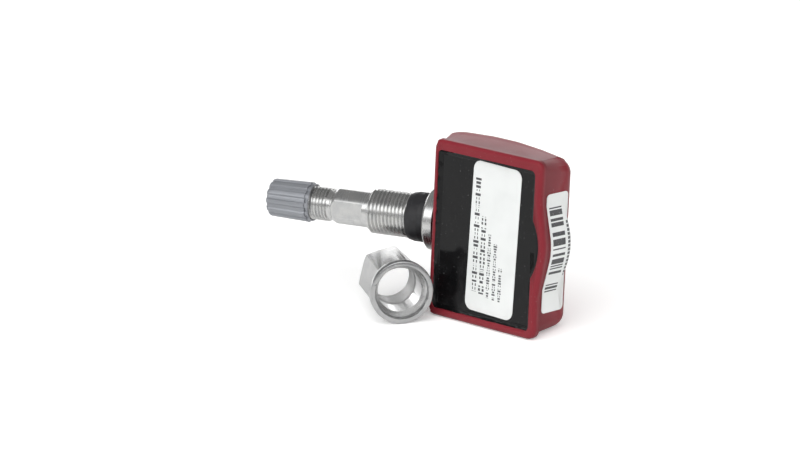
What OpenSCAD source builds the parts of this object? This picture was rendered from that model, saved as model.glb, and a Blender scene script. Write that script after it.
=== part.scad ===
// Tyre pressure sensor: a potted box on a clamp-in valve stem, with its sleeve nut taken off.
// The origin is the centre of the rim's valve hole, on the face that the flange clamps against.
// The stem runs along -X to its tip, and +Z is up. Sizes are in millimetres.

/* [Housing] */
// Width of the lip round the open face
lip_w = 32; // [31:0.5:36]
// Height of the lip
lip_h = 40.4; // [39.5:0.1:46]
// Depth of the lip, front to back
lip_depth = 2; // [1.5:0.1:2.6]
// Radius of the lip's corners
lip_corner_r = 2.2; // [1.6:0.1:3]
// Rounding along the lip's front edge
lip_edge_r = 0.8; // [0.4:0.1:1]
// Width of the lip's front face
lip_wall = 1.64; // [1.4:0.02:2]
// Step from the lip down to the body behind it
body_inset = 0.5; // [0.3:0.05:0.6]
// Draft of the body's sides, in degrees
body_draft = 2; // [0:0.5:3]
// Depth of the housing where its back is highest
body_depth = 14.6; // [14.4:0.1:16]
// Radius of the crowned back
crown_r = 70; // [65:5:120]
// Place across the housing where the back is highest
crown_x = -1.5; // [-3:0.5:1]
// Rounding of the back's edges
back_edge_r = 3.5; // [3:0.1:4]
// Thickness of the back wall
back_wall = 1.5; // [1.2:0.1:1.8]
// Depth of the potting's face below the lip
fill_depth = 0.9; // [0.5:0.1:1.2]

/* [Battery bulge] */
// Diameter of the coin cell
cell_d = 24.5; // [24:0.1:24.5]
// Thickness of the coin cell
cell_t = 5; // [4.5:0.1:5.2]
// Place of the cell across the housing
cell_x = 3.8; // [3.4:0.1:4]
// Place of the cell above mid height
cell_z = 0.3; // [-1:0.1:1]
// Depth of the cell's front face below the lip
cell_front = 2.2; // [1.8:0.1:2.4]
// Clearance between the cell and its pocket
cell_clear = 0.15; // [0.05:0.05:0.3]
// Wall outside the cell's pocket
pocket_wall = 1.4; // [1.2:0.1:1.8]
// Half height over which the bulge blends into the side
bulge_reach = 10.5; // [9:0.5:12]
// Depth of the bulge
bulge_depth = 11.4; // [11:0.1:11.8]

/* [Circuit] */
// Gap between the circuit board and the housing's sides
board_side_gap = 0.76; // [0.7:0.02:1.4]
// Gap between the circuit board and the housing's ends
board_end_gap = 1.16; // [1.1:0.02:2]
// Thickness of the circuit board
board_t = 1; // [0.8:0.1:1.2]
// Gap between the cell and the board
board_gap = 0.6; // [0.4:0.05:0.8]
// Side of the square sensor chip
chip_w = 8; // [7:0.1:9]
// Thickness of the sensor chip
chip_t = 2; // [1.6:0.1:2.1]
// Place of the sensor chip across the housing
chip_x = -1; // [-2:0.5:1]
// Place of the sensor chip above mid height
chip_z = -9; // [-10:0.5:-8]
// Diameter of the pressure port in the back
port_d = 1.6; // [1.2:0.1:2]
// Diameter of the seal round the pressure port
port_seal_d = 5.6; // [5:0.1:6]

/* [Valve stem] */
// Lean of the stem from the housing's width, in degrees
stem_angle = 20; // [18:0.5:22]
// Depth at which the stem leaves the housing's side
stem_depth = 6.9; // [6.8:0.1:7]
// Diameter of the clamping flange
flange_d = 14.2; // [13.8:0.1:15]
// Thickness of the clamping flange
flange_t = 2.6; // [2.4:0.1:3]
// Chamfer round the flange's front
flange_chamfer = 0.5; // [0.3:0.1:0.6]
// Diameter of the sleeve nut's thread on the stem
stem_thread_d = 10.34; // [10.2:0.02:10.4]
// Distance from the seat to the end of that thread
stem_thread_l = 14.6; // [13.6:0.1:15]
// Chamfer at the start of that thread
stem_thread_chamfer = 0.8; // [0.6:0.1:1.2]
// Diameter of the plain stem past the thread
shank_d = 8.1; // [8:0.05:8.3]
// Distance from the seat to the end of the plain stem
shank_end = 22.9; // [22:0.1:23]
// Width across the two wrench flats
flats_w = 7.16; // [7.1:0.02:7.6]
// Distance from the seat to the start of the flats
flats_start = 15.8; // [15.4:0.1:16.4]
// Diameter of the neck below the cap's thread
neck_d = 7; // [6.8:0.05:7.2]
// Distance from the seat to the start of the cap's thread
tip_thread_start = 24.2; // [24.2:0.1:25]
// Diameter of the cap's thread
tip_thread_d = 7.7; // [7.6:0.02:7.8]
// Distance from the seat to the stem's tip
stem_l = 36.5; // [36:0.1:38]
// Diameter of the stud that holds the stem in the housing
stud_d = 5; // [4.5:0.1:5.2]
// Distance from the seat to the end of the stud
stud_end = 10; // [9.9:0.1:10.2]
// Width across the flats of the stud's nut
stud_nut_w = 7; // [6.6:0.1:7.2]
// Thickness of the stud's nut
stud_nut_t = 2.2; // [2:0.1:2.3]
// Plastic between the flange and the stud's nut
stud_wall = 4.8; // [4.6:0.1:4.9]
// Diameter of the air passage along the stem
passage_d = 2.4; // [2:0.1:2.6]
// Diameter of the air vent through the flange's edge
vent_d = 1.2; // [1:0.1:1.4]

/* [Grommet] */
// Diameter of the stem inside the grommet
grommet_seat_d = 9.6; // [9.2:0.1:9.8]
// Diameter of the rubber grommet in the rim's hole
grommet_d = 11.3; // [11.2:0.05:11.4]
// Length of the rubber grommet
grommet_l = 4.7; // [4.4:0.1:5]
// Length of the taper at the grommet's front
grommet_taper = 1.2; // [0.8:0.1:1.4]
// Diameter at the grommet's front
grommet_front_d = 10.7; // [10.6:0.05:11]

/* [Valve core] */
// Diameter of the bore that takes the core's plug
plug_bore_d = 5.2; // [5.1:0.02:5.3]
// Depth of that bore from the tip
plug_bore_l = 6.9; // [6.8:0.1:7.2]
// Diameter of the chamber round the core's barrel
chamber_d = 4.1; // [4.05:0.05:4.3]
// Diameter of the core's barrel
barrel_d = 3.7; // [3.6:0.05:3.8]
// Depth of the barrel's lower end from the stem's tip
barrel_depth = 16.5; // [16.1:0.1:16.7]
// Distance that the core's plug lies below the tip
plug_depth = 0.5; // [0.4:0.1:0.8]
// Clearance round the core's plug
plug_clear = 0.05; // [0.02:0.01:0.08]
// Diameter of the pin's shaft
pin_d = 1.5; // [1.4:0.05:1.6]
// Diameter of the pin's head
pin_head_d = 1.9; // [1.8:0.05:2]
// Radial clearance between the pin's head and the plug
pin_clear = 0.08; // [0.04:0.01:0.1]
// Travel of the pin when it is pressed
pin_travel = 1.2; // [1:0.1:1.4]
// Diameter of the core spring's wire
spring_wire = 0.35; // [0.3:0.01:0.4]
// Turns of the core spring
spring_turns = 5; // [4:1:6]

/* [Cap] */
// Diameter of the cap at its open end
cap_d = 9.3; // [9.2:0.05:9.6]
// Diameter of the cap at its closed end
cap_end_d = 8.8; // [8.6:0.05:9.2]
// Length of thread that the cap covers
cap_cover = 7.5; // [6.9:0.1:8.1]
// Length of the cap
cap_l = 10.7; // [10:0.1:11.4]
// Number of grip grooves round the cap
cap_grooves = 12; // [8:1:14]
// Depth of the grip grooves
cap_groove_depth = 0.32; // [0.2:0.02:0.4]
// Length of the plain collar at the cap's open end
cap_collar_l = 0.9; // [0.6:0.1:1.2]
// Radial clearance between the cap and the stem
cap_clear = 0.06; // [0.03:0.01:0.1]
// Thickness of the cap's rubber seal
cap_seal_t = 0.8; // [0.6:0.1:1]
// Gap between the stem's tip and the cap's seal
cap_seal_gap = 0.1; // [0.05:0.05:0.2]

/* [Sleeve nut] */
// Width across the nut's flats
nut_w = 12; // [12:0.1:13]
// Length of the nut
nut_l = 16.5; // [16:0.1:18]
// Diameter of the nut's round mouth
nut_rim_d = 14.5; // [14.2:0.1:15]
// Thickness of the nut's round mouth
nut_rim_t = 2.2; // [2.2:0.1:2.6]
// Diameter of the recess in the nut's mouth
nut_recess_d = 12.16; // [12:0.02:12.2]
// Depth of that recess
nut_recess_l = 1.2; // [1:0.1:1.4]
// Diameter of the nut's threaded bore
nut_bore_d = 9.6; // [9.4:0.02:9.8]
// Place of the nut's mouth across the housing
nut_x = -15; // [-17:0.1:-14.9]
// Place of the nut's mouth in front of the lip's back edge
nut_y = -10.6; // [-13:0.1:-10.5]
// Heading of the nut's hexagon end, in degrees
nut_heading = 144.7; // [144:0.5:148]
// Turn of the nut's lowest corner from straight down, in degrees
nut_roll = 16.2; // [5:0.1:25]

/* [Labels] */
// Thickness of the labels
label_t = 0.12; // [0.08:0.02:0.2]
// Width of the label on the potting
face_label_w = 14; // [12:0.1:15]
// Gap above and below the label on the potting
face_label_gap = 1.4; // [1.3:0.1:3]
// Radius of that label's corners
face_label_r = 2; // [1:0.1:3]
// Place of that label across the housing
face_label_x = 2.4; // [2:0.1:3]
// Turn of that label, in degrees
face_label_turn = 1.6; // [0:0.1:2]
// Height of the label on the housing's side
side_label_h = 27; // [24:0.5:28]
// Width of the label on the housing's side
side_label_w = 7.6; // [7:0.1:8]
// Distance from the lip to the side label
side_label_gap = 1; // [0.6:0.1:1.2]
// Place of the side label's middle below mid height
side_label_drop = 1.1; // [0:0.1:2]

/* [Hidden] */

// A small overlap that lets a cut pass cleanly through a face
cut = 1;
// Facets of a hull's round ends, of its rounded edges, of the wide bulge, and of the rest
hull_fn = 24;
edge_fn = 20;
bulge_fn = 72;
round_fn = 64;
// Thickness of the slice that starts a hulled body
slice = 0.2;

// The housing's frame: X along its width, Y into its depth from the lip's front, Z up
slant = tan(stem_angle);
taper = tan(body_draft);
side_step = 0.4;
wall_left = lip_w / 2 - side_step;
function left_x(y) = -wall_left - y * slant;
function right_x(y) = lip_w / 2 - body_inset - y * taper;
function half_z(y) = lip_h / 2 - body_inset - y * taper;
function back_y(x) = body_depth - pow(x - crown_x, 2) / (2 * crown_r);
// The seat lies in front of the slanted side by the flange's thickness
seat_x = left_x(stem_depth) - flange_t * cos(stem_angle);
seat_y = stem_depth - flange_t * sin(stem_angle);

// Centres of the spheres that round the housing's back
back_ball_left = (back_edge_r - (back_y(-lip_w / 2) - back_edge_r) * sin(stem_angle))
  / cos(stem_angle) - wall_left;
back_ball_right = right_x(back_y(lip_w / 2) - back_edge_r) - back_edge_r;
back_ball_steps = 4;
function back_ball_x(i) =
  back_ball_left + (back_ball_right - back_ball_left) * i / back_ball_steps;
back_ball_z = half_z(body_depth - back_edge_r) - back_edge_r;

// Backward lean of the housing, from the lip's back edge to its rounded back
lean_reach = body_depth - back_edge_r - lip_depth;
lean_rise = lip_h / 2 - back_ball_z;
rest_lean = atan2(lean_rise, lean_reach) - asin(back_edge_r / norm([lean_reach, lean_rise]));

// The cell's pocket and the bulge round it
pocket_r = cell_d / 2 + cell_clear;
bulge_r = pocket_r + pocket_wall;
bulge_edge_r = 2.6;
blend_r = 2;

// Depths inside the housing, from the lip's front
cell_back = cell_front + cell_t;
board_front = cell_back + board_gap;
board_back = board_front + board_t;
inner_w = lip_w - 2 * lip_wall;
inner_h = lip_h - 2 * lip_wall;
inner_corner_r = 1.2;
board_w = inner_w - 2 * board_side_gap;
board_h = inner_h - 2 * board_end_gap;
face_label_h = inner_h - 2 * face_label_gap;
inner_ball_r = back_edge_r - back_wall;
room_side_taper = 0.2;
room_end_taper = 0.5;
inner_ball_x = inner_w / 2 - inner_ball_r - room_side_taper;
port_boss_rim = 0.4;
port_boss_d = port_seal_d + 2 * port_boss_rim;
port_seal_t = 1.3;
port_boss_front = board_back + chip_t + port_seal_t;

// Gap round the flange where it lies in the lip
flange_clear = 0.05;

// Room for the stud's nut in the board
notch_w = 5.4;
notch_gap = 1;
notch_h = 2 * (stud_nut_w / sqrt(3) + notch_gap);

// Stations along the stem, from the seat towards the tip
neck_taper = 0.8;
stud_chamfer = 0.4;
tip_runout = 0.3;
chamber_cone = 0.6;
tip_chamfer = 0.5;
thread_gap = 0.2;
thread_chamfer_in = 0.7 * stem_thread_chamfer;
groove_under = 0.35;
groove_in = grommet_d / 2 - groove_under;
groove_w = 0.6;
groove_depth = 0.2;
cone_top = stem_l - plug_bore_l;
cone_l = 1.8;
cone_end = cone_top - cone_l;
plug_top = stem_l - plug_depth;
gasket_gap = 0.2;
gasket_low = cone_end + gasket_gap;
gasket_high = cone_top - gasket_gap;
shoulder_t = 0.6;
shoulder_clear = 0.2;
barrel_top = gasket_high + shoulder_t;
function cone_r(t) = chamber_d / 2
  + (t - cone_end) * (plug_bore_d - chamber_d) / 2 / cone_l;

// Stations of the pin and its spring
barrel_end = stem_l - barrel_depth;
cup_t = 1.1;
cup_d = 3.2;
chamber_spare = 0.7;
chamber_end = barrel_end - cup_t - pin_travel - chamber_spare;
plug_hole_r = pin_head_d / 2 + pin_clear;
pin_rod_r = 0.5;
rod_clear = 0.35;
barrel_wall = 0.45;
barrel_floor_t = 1.5;
spring_roof_t = 0.6;
spring_room_r = barrel_d / 2 - barrel_wall;
spring_floor = barrel_end + barrel_floor_t;
spring_roof = gasket_low + spring_roof_t;
collar_t = 0.8;
collar_gap = 0.4;
collar_clear = 0.2;
collar_low = spring_roof - collar_t - collar_gap;
pin_head_l = 0.9;
pin_proud = 0.2;
pin_top = plug_top + pin_proud;

// The nut rests on its mouth's edge and on one corner of its hexagon
nut_corner_r = nut_w / sqrt(3);
nut_low_r = nut_corner_r * cos(nut_roll);
nut_pitch = asin((nut_rim_d / 2 - nut_low_r) / (nut_l - nut_rim_t));
nut_lift = nut_rim_d / 2 * cos(nut_pitch) + nut_rim_t * sin(nut_pitch);
nut_chamfer = 0.7;
nut_chamfer_slope = 0.82;
nut_cone_l = 1.4;

// Inside of the cap
cap_start = stem_l - cap_cover;
cap_top = cap_start + cap_l;
cap_bore_r = tip_thread_d / 2 + cap_clear;
cap_seal_low = stem_l + cap_seal_gap;
cap_bore_top = cap_seal_low + cap_seal_t;

$fn = round_fn;

// Places children given in the housing's frame
module in_housing() {
  rotate([0, 0, -stem_angle])
    translate([-seat_x, -seat_y, 0])
      children();
}

// Places children given along the stem, with Z from the seat towards the tip
module along_stem() {
  rotate([0, -90, 0])
    children();
}

// Places children given on the floor, inside the housing's frame
module on_floor() {
  translate([0, lip_depth, -lip_h / 2])
    rotate([rest_lean, 0, 0])
      children();
}

// Places children given along the stem, inside the housing's frame
module stem_in_housing() {
  translate([seat_x, seat_y, 0])
    rotate([0, 0, stem_angle])
      along_stem()
        children();
}

// Turns a solid that stands on Z so that it runs into the housing's depth
module into_depth(y) {
  translate([0, y, 0])
    rotate([-90, 0, 0])
      children();
}

// A flat rectangle with round corners
module rounded_rect(w, h, r) {
  square([w, h - 2 * r], center = true);
  square([w - 2 * r, h], center = true);
  for (sx = [-1, 1], sz = [-1, 1])
    translate([sx * (w / 2 - r), sz * (h / 2 - r)])
      circle(r);
}

// A disc that stands on Z, with a rounded upper edge
module rounded_disc(r, h, edge) {
  rotate_extrude() {
    square([r - edge, h]);
    square([r, h - edge]);
    translate([r - edge, h - edge])
      intersection() {
        circle(edge, $fn = edge_fn);
        square(edge);
      }
  }
}

// A box given by its low corner and its size, in the housing's frame
module block(low, size) {
  translate(low)
    cube(size);
}

// The body behind the lip, thickened outward by grow
module body_shape(grow = 0) {
  hull() {
    for (sx = [0, 1], sz = [-1, 1])
      translate([
        sx == 0 ? left_x(slice) + lip_corner_r - grow : right_x(slice) - lip_corner_r + grow,
        lip_edge_r,
        sz * (half_z(slice) - lip_corner_r + grow)
      ])
        rotate([-90, 0, 0])
          cylinder(r = lip_corner_r, h = slice, $fn = hull_fn);
    for (i = [0 : back_ball_steps], sz = [-1, 1])
      translate([back_ball_x(i), back_y(back_ball_x(i)) - back_edge_r, sz * back_ball_z])
        sphere(r = back_edge_r + grow, $fn = hull_fn);
  }
}

// The bulge over the cell's pocket, from depth y back, thickened outward by grow
module bulge_shape(grow = 0) {
  hull() {
    translate([cell_x, lip_edge_r, cell_z])
      rotate([-90, 0, 0])
        rounded_disc(bulge_r - body_inset / 2 + grow, bulge_depth - lip_edge_r, bulge_edge_r,
          $fn = bulge_fn);
    for (sz = [-1, 1])
      translate([right_x(bulge_depth) - blend_r, lip_edge_r, cell_z + sz * bulge_reach])
        rotate([-90, 0, 0])
          rounded_disc(blend_r + grow, bulge_depth - lip_edge_r - blend_r, blend_r, $fn = hull_fn);
  }
}

// The lip: a bead round the open face, with a rounded front edge
module lip_shape() {
  hull() {
    for (sx = [-1, 1], sz = [-1, 1])
      translate([sx * (lip_w / 2 - lip_corner_r), lip_depth, sz * (lip_h / 2 - lip_corner_r)])
        rotate([90, 0, 0])
          rounded_disc(lip_corner_r, lip_depth, lip_edge_r, $fn = hull_fn);
    for (sz = [-1, 1])
      translate([
        left_x(lip_depth) - body_inset + lip_corner_r,
        lip_depth,
        sz * (lip_h / 2 - lip_corner_r)
      ])
        rotate([90, 0, 0])
          cylinder(r = lip_corner_r, h = slice, $fn = hull_fn);
  }
  hull() {
    translate([cell_x, lip_depth, cell_z])
      rotate([90, 0, 0])
        rounded_disc(bulge_r, lip_depth, lip_edge_r, $fn = bulge_fn);
    for (sz = [-1, 1])
      translate([lip_w / 2 - blend_r, lip_depth, cell_z + sz * bulge_reach])
        rotate([90, 0, 0])
          rounded_disc(blend_r, lip_depth, lip_edge_r, $fn = hull_fn);
  }
}

// The room inside the housing, open to the front
module cavity_shape() {
  hull() {
    into_depth(-cut)
      linear_extrude(slice)
        rounded_rect(inner_w, inner_h, inner_corner_r, $fn = hull_fn);
    for (sx = [-1, 0, 1], sz = [-1, 1])
      translate([
        sx * inner_ball_x,
        back_y(sx * inner_ball_x) - back_edge_r,
        sz * (inner_h / 2 - inner_ball_r - room_end_taper)
      ])
        sphere(r = inner_ball_r, $fn = hull_fn);
  }
  into_depth(-cut)
    translate([cell_x, -cell_z, 0])
      cylinder(r = pocket_r, h = cell_back + cut);
}

// The boss round the pressure port, on the inside of the back
module port_boss_shape() {
  into_depth(port_boss_front)
    translate([chip_x, -chip_z, 0])
      cylinder(d = port_boss_d, h = back_y(chip_x) - back_wall / 2 - port_boss_front);
}

// The plastic that the stud's nut clamps, round the stud
stud_boss_rim = 1;
module stud_boss_shape() {
  along_stem()
    translate([0, 0, -flange_t - stud_wall])
      cylinder(d = stud_nut_w + 2 * stud_boss_rim, h = stud_wall - cut);
}

module housing() {
  color([0.55, 0.18, 0.22])
    difference() {
      union() {
        in_housing()
          difference() {
            union() {
              body_shape();
              bulge_shape();
              difference() {
                lip_shape();
                stem_in_housing()
                  translate([0, 0, -flange_t - cut])
                    cylinder(d = flange_d + 2 * flange_clear, h = flange_t + 2 * cut);
              }
            }
            cavity_shape();
          }
        in_housing()
          port_boss_shape();
        stud_boss_shape();
      }
      along_stem()
        translate([0, 0, -flange_t - stud_wall - cut])
          cylinder(d = stud_d, h = stud_wall + 2 * cut);
      stud_nut_block();
      in_housing()
        into_depth(port_boss_front - cut)
          translate([chip_x, -chip_z, 0])
            cylinder(d = port_d, h = body_depth);
    }
}

module potting() {
  color([0.1, 0.1, 0.1])
    difference() {
      in_housing()
        difference() {
          intersection() {
            cavity_shape();
            block([-lip_w, fill_depth, -lip_h], [2 * lip_w, body_depth, 2 * lip_h]);
          }
          circuit_board_shape();
          coin_cell_shape();
          positive_tab_shape();
          negative_tab_shape();
          sensor_chip_shape();
          port_boss_shape();
          into_depth(board_back + chip_t)
            translate([chip_x, -chip_z, 0])
              cylinder(d = port_seal_d, h = port_seal_t);
          crystal_shape();
          pickup_core_shape();
          pickup_winding_block();
          antenna_shape();
          capacitor_shapes();
          resistor_shapes();
        }
      stud_boss_shape();
      along_stem()
        translate([0, 0, -stud_end])
          cylinder(d = stud_d, h = stud_end - flange_t - stud_wall + cut);
      stud_nut_block();
    }
}

// The board, notched on its left for the stud's nut
board_corner_r = 1;
module circuit_board_shape() {
  difference() {
    into_depth(board_front)
      linear_extrude(board_t)
        rounded_rect(board_w, board_h, board_corner_r);
    block([-board_w / 2 - cut, board_front - cut, -notch_h / 2],
      [notch_w + cut, board_t + 2 * cut, notch_h]);
  }
}

module circuit_board() {
  color([0.1, 0.35, 0.18])
    in_housing()
      circuit_board_shape();
}

// The cell: a can with a smaller lid that faces the open side
cell_lid_step = 0.6;
cell_lid_in = 1.4;
module coin_cell_shape() {
  translate([cell_x, cell_back, cell_z])
    rotate([90, 0, 0])
      rotate_extrude()
        polygon([
          [0, 0],
          [cell_d / 2, 0],
          [cell_d / 2, cell_t - cell_lid_step],
          [cell_d / 2 - cell_lid_in, cell_t - cell_lid_step],
          [cell_d / 2 - cell_lid_in, cell_t],
          [0, cell_t]
        ]);
}

module coin_cell() {
  color([0.75, 0.76, 0.78])
    in_housing()
      coin_cell_shape();
}

// The tabs: sheet strips from the cell's two faces to the board
tab_t = 0.2;
tab_w = 4;
tab_reach = 5;
tab_gap = 0.6;
tab_foot = cell_z + cell_d / 2 + tab_gap;

// One strip lies on the cell's lid and turns down outside the cell to the board
module positive_tab_shape() {
  block([cell_x - tab_w / 2, cell_front - tab_t, tab_foot - tab_reach],
    [tab_w, tab_t, tab_reach + tab_t]);
  block([cell_x - tab_w / 2, cell_front - tab_t, tab_foot],
    [tab_w, board_front - cell_front + tab_t, tab_t]);
}

module positive_tab() {
  color([0.8, 0.8, 0.8])
    in_housing()
      positive_tab_shape();
}

// The other lies under the can and steps back to the board
module negative_tab_shape() {
  block([cell_x - tab_w / 2, cell_back, -tab_foot + tab_t],
    [tab_w, tab_t, tab_reach + tab_t]);
  block([cell_x - tab_w / 2, cell_back, -tab_foot],
    [tab_w, board_front - cell_back, tab_t]);
}

module negative_tab() {
  color([0.8, 0.8, 0.8])
    in_housing()
      negative_tab_shape();
}

// The sensor chip on the back of the board, with a hole under the port
module sensor_chip_shape() {
  block([chip_x - chip_w / 2, board_back, chip_z - chip_w / 2], [chip_w, chip_t, chip_w]);
}

module sensor_chip() {
  color([0.15, 0.15, 0.17])
    in_housing()
      difference() {
        sensor_chip_shape();
        into_depth(board_back + chip_t / 2)
          translate([chip_x, -chip_z, 0])
            cylinder(d = port_d, h = chip_t);
      }
}

// The rubber ring between the chip and the housing's boss
module pressure_seal() {
  color([0.2, 0.2, 0.2])
    in_housing()
      into_depth(board_back + chip_t)
        translate([chip_x, -chip_z, 0])
          difference() {
            cylinder(d = port_seal_d, h = port_seal_t);
            translate([0, 0, -cut])
              cylinder(d = port_d, h = body_depth);
          }
}

crystal_size = [3.2, 1, 5];
crystal_gap = 1.4;
crystal_z = 6;
module crystal_shape() {
  block([antenna_span / 2 - antenna_t - crystal_gap - crystal_size[0], board_back, crystal_z],
    crystal_size);
}

module crystal() {
  color([0.78, 0.78, 0.76])
    in_housing()
      crystal_shape();
}

// The pickup coil: a ferrite bar with a winding round it, in front of the board
pickup_x = -11.2;
pickup_z = board_h / 2 - 5.4;
pickup_l = 9;
pickup_w = 3;
pickup_flange = 1;
winding_step = 0.5;
pickup_high = board_front - pickup_w;
module pickup_core_shape() {
  block([pickup_x - pickup_w / 2, pickup_high, pickup_z - pickup_l / 2],
    [pickup_w, pickup_w, pickup_flange]);
  block([pickup_x - pickup_w / 2, pickup_high, pickup_z + pickup_l / 2 - pickup_flange],
    [pickup_w, pickup_w, pickup_flange]);
  block([pickup_x - pickup_w / 2 + winding_step, pickup_high + winding_step,
      pickup_z - pickup_l / 2],
    [pickup_w - 2 * winding_step, pickup_w - 2 * winding_step, pickup_l]);
}

module pickup_coil_core() {
  color([0.2, 0.2, 0.22])
    in_housing()
      pickup_core_shape();
}

module pickup_winding_block() {
  block([pickup_x - pickup_w / 2, pickup_high, pickup_z - pickup_l / 2 + pickup_flange],
    [pickup_w, pickup_w, pickup_l - 2 * pickup_flange]);
}

module pickup_coil_winding() {
  color([0.72, 0.42, 0.2])
    in_housing()
      difference() {
        pickup_winding_block();
        pickup_core_shape();
      }
}

// The antenna: a strip that stands on the board's back in a wide U
antenna_t = 0.4;
antenna_rise = 1.6;
antenna_span = 20;
antenna_leg = 6;
antenna_z = board_h / 2 - 2.4;
module antenna_shape() {
  block([-antenna_span / 2, board_back, antenna_z], [antenna_span, antenna_rise, antenna_t]);
  for (sx = [-1, 1])
    block([sx * (antenna_span / 2 - antenna_t / 2) - antenna_t / 2, board_back,
        antenna_z - antenna_leg],
      [antenna_t, antenna_rise, antenna_leg + antenna_t]);
}

module loop_antenna() {
  color([0.8, 0.62, 0.3])
    in_housing()
      antenna_shape();
}

// Small parts in rows on the back of the board
part_pitch = 2.6;
row_parts = 5;
row_x = -7;
capacitor_z = 2;
resistor_z = -2;
capacitor_size = [1.2, 0.9, 2];
resistor_size = [1, 0.5, 1.6];
module capacitor_shapes() {
  for (i = [0 : row_parts - 1])
    block([row_x + i * part_pitch, board_back, capacitor_z], capacitor_size);
}

module chip_capacitors() {
  color([0.6, 0.48, 0.36])
    in_housing()
      capacitor_shapes();
}

module resistor_shapes() {
  for (i = [0 : row_parts - 1])
    block([row_x + i * part_pitch, board_back, resistor_z], resistor_size);
}

module chip_resistors() {
  color([0.12, 0.12, 0.12])
    in_housing()
      resistor_shapes();
}

// The stem's turned outline, from the stud's end to the tip, with its bores cut in
module valve_stem() {
  thread_r = stem_thread_d / 2;
  shank_r = shank_d / 2;
  flange_r = flange_d / 2;
  color([0.8, 0.81, 0.82])
    along_stem()
      difference() {
        rotate_extrude()
          polygon([
            [0, -stud_end],
            [stud_d / 2 - stud_chamfer, -stud_end],
            [stud_d / 2, -stud_end + stud_chamfer],
            [stud_d / 2, -flange_t],
            [flange_r, -flange_t],
            [flange_r, -flange_chamfer],
            [flange_r - flange_chamfer, 0],
            [groove_in + groove_w, 0],
            [groove_in + groove_w, -groove_depth],
            [groove_in, -groove_depth],
            [groove_in, 0],
            [grommet_seat_d / 2, 0],
            [grommet_seat_d / 2, grommet_l + thread_gap],
            [thread_r, grommet_l + thread_gap],
            [thread_r, stem_thread_l - stem_thread_chamfer],
            [thread_r - thread_chamfer_in, stem_thread_l],
            [shank_r, stem_thread_l],
            [shank_r, shank_end],
            [neck_d / 2, shank_end + neck_taper],
            [neck_d / 2, tip_thread_start - tip_runout],
            [tip_thread_d / 2, tip_thread_start],
            [tip_thread_d / 2, stem_l - tip_chamfer],
            [tip_thread_d / 2 - tip_chamfer, stem_l],
            [0, stem_l]
          ]);
        for (sy = [-1, 1])
          translate([-shank_d, sy * (flats_w / 2 + shank_d / 2) - shank_d / 2, flats_start])
            cube([2 * shank_d, shank_d, shank_end + neck_taper - flats_start]);
        rotate_extrude()
          polygon([
            [0, chamber_end - chamber_cone],
            [passage_d / 2, chamber_end - chamber_cone],
            [chamber_d / 2, chamber_end],
            [chamber_d / 2, cone_end],
            [plug_bore_d / 2, cone_top],
            [plug_bore_d / 2, stem_l + cut],
            [0, stem_l + cut]
          ]);
        translate([0, 0, -flange_t / 2 - vent_d / 2])
          cylinder(d = passage_d, h = chamber_end);
        translate([0, 0, -flange_t / 2])
          rotate([-90, 0, 0])
            cylinder(d = vent_d, h = flange_d);
      }
}

// The space that the stud's nut takes
module stud_nut_block() {
  along_stem()
    translate([0, 0, -flange_t - stud_wall - stud_nut_t])
      cylinder(d = 2 * stud_nut_w / sqrt(3), h = stud_nut_t, $fn = 6);
}

// The nut that draws the stem's flange against the housing
module stud_nut() {
  color([0.7, 0.7, 0.72])
    difference() {
      stud_nut_block();
      along_stem()
        translate([0, 0, -stud_end - cut])
          cylinder(d = stud_d, h = stud_end);
    }
}

// The rubber bush that seals the stem in the rim's hole
module rim_grommet() {
  color([0.12, 0.12, 0.12])
    along_stem()
      rotate_extrude()
        polygon([
          [grommet_seat_d / 2, 0],
          [grommet_d / 2, 0],
          [grommet_d / 2, grommet_l - grommet_taper],
          [grommet_front_d / 2, grommet_l],
          [grommet_seat_d / 2, grommet_l]
        ]);
}

// The core's threaded plug, with a bridge for the tool at its top
bridge_h = 1.6;
bridge_w = 3;
module core_plug() {
  color([0.8, 0.66, 0.35])
    along_stem()
      difference() {
        translate([0, 0, barrel_top])
          cylinder(r = plug_bore_d / 2 - plug_clear, h = plug_top - barrel_top);
        translate([0, 0, barrel_top - cut])
          cylinder(r = plug_hole_r, h = plug_top - barrel_top + 2 * cut);
        for (sy = [-1, 1])
          translate([-plug_bore_d, sy * (bridge_w / 2 + plug_bore_d / 2) - plug_bore_d / 2,
              plug_top - bridge_h])
            cube([2 * plug_bore_d, plug_bore_d, bridge_h + cut]);
      }
}

// The barrel below the plug, with room for the spring
module core_barrel() {
  color([0.82, 0.68, 0.38])
    along_stem()
      rotate_extrude()
        polygon([
          [pin_rod_r + rod_clear, barrel_end],
          [barrel_d / 2, barrel_end],
          [barrel_d / 2, gasket_high],
          [plug_bore_d / 2 - shoulder_clear, gasket_high],
          [plug_bore_d / 2 - shoulder_clear, barrel_top],
          [plug_hole_r, barrel_top],
          [plug_hole_r, spring_roof],
          [spring_room_r, spring_roof],
          [spring_room_r, spring_floor],
          [pin_rod_r + rod_clear, spring_floor]
        ]);
}

// The tapered ring that seals the barrel in the stem's cone
module core_gasket() {
  color([0.85, 0.2, 0.15])
    along_stem()
      rotate_extrude()
        polygon([
          [barrel_d / 2, gasket_low],
          [cone_r(gasket_low), gasket_low],
          [cone_r(gasket_high), gasket_high],
          [barrel_d / 2, gasket_high]
        ]);
}

// The pin: a rod through the spring, a collar, a shaft and a head
module core_pin() {
  color([0.75, 0.75, 0.77])
    along_stem()
      rotate_extrude()
        polygon([
          [0, barrel_end - cup_t],
          [pin_rod_r, barrel_end - cup_t],
          [pin_rod_r, collar_low],
          [spring_room_r - collar_clear, collar_low],
          [spring_room_r - collar_clear, collar_low + collar_t],
          [pin_d / 2, collar_low + collar_t],
          [pin_d / 2, pin_top - pin_head_l],
          [pin_head_d / 2, pin_top - pin_head_l],
          [pin_head_d / 2, pin_top],
          [0, pin_top]
        ]);
}

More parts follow.
